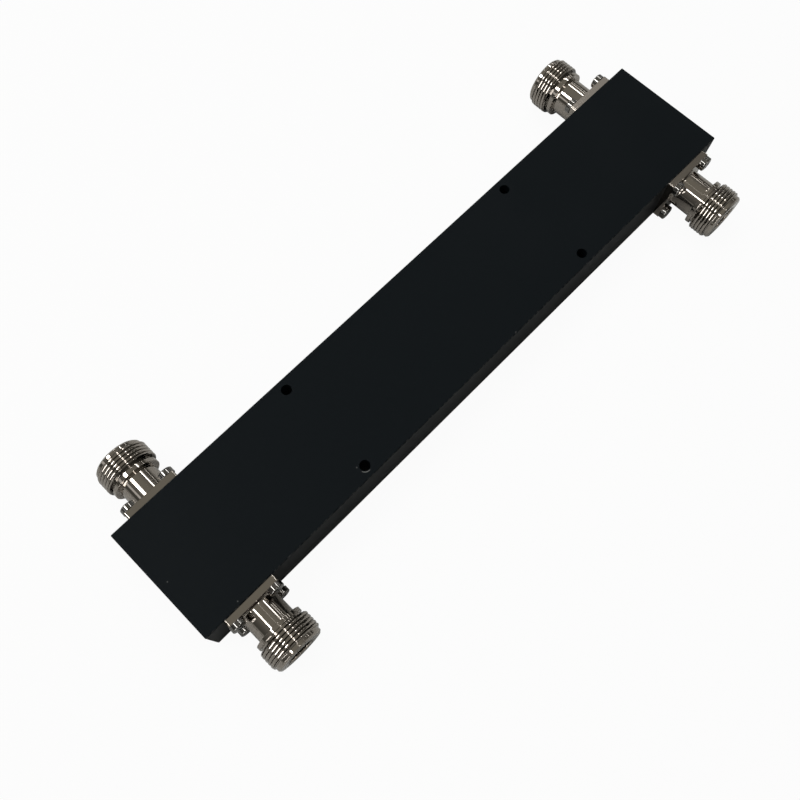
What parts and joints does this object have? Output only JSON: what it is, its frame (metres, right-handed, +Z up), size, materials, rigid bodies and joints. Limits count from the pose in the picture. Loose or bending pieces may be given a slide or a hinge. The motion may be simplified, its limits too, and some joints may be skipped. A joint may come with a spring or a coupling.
{
  "type": "hybrid coupler",
  "caption": "Flat black bar-shaped radio-frequency hybrid coupler with flanged threaded coaxial sockets on both long sides and through holes for mounting.",
  "frame": {"origin": "centre of the underside of the bar", "axes": "+X along the bar, +Y across it towards two of the sockets, +Z up from the cover side to the plain side"},
  "size_m": [0.205, 0.0724, 0.0174],
  "materials": {
    "black_paint": "satin black",
    "nickel": "nickel plate",
    "steel": "bright",
    "silver": "silver plate",
    "gold": "gold plate",
    "ptfe": "smooth"
  },
  "bodies": {
    "root": {"housing": "black_paint", "cover_plate": "black_paint", "cover_screws": "steel", "upper_line": "silver", "lower_line": "silver", "line_spacers": "ptfe", "roof_supports": "ptfe", "cover_supports": "ptfe", "connector_shell_a": "nickel", "connector_shell_b": "nickel", "connector_shell_c": "nickel", "connector_shell_d": "nickel", "front_insulator_a": "ptfe", "front_insulator_b": "ptfe", "front_insulator_c": "ptfe", "front_insulator_d": "ptfe", "wall_insulator_a": "ptfe", "wall_insulator_b": "ptfe", "wall_insulator_c": "ptfe", "wall_insulator_d": "ptfe", "centre_contact_a": "gold", "centre_contact_b": "gold", "centre_contact_c": "gold", "centre_contact_d": "gold", "flange_screws_a": "steel", "flange_screws_b": "steel", "flange_screws_c": "steel", "flange_screws_d": "steel"}
  },
  "joints": []
}
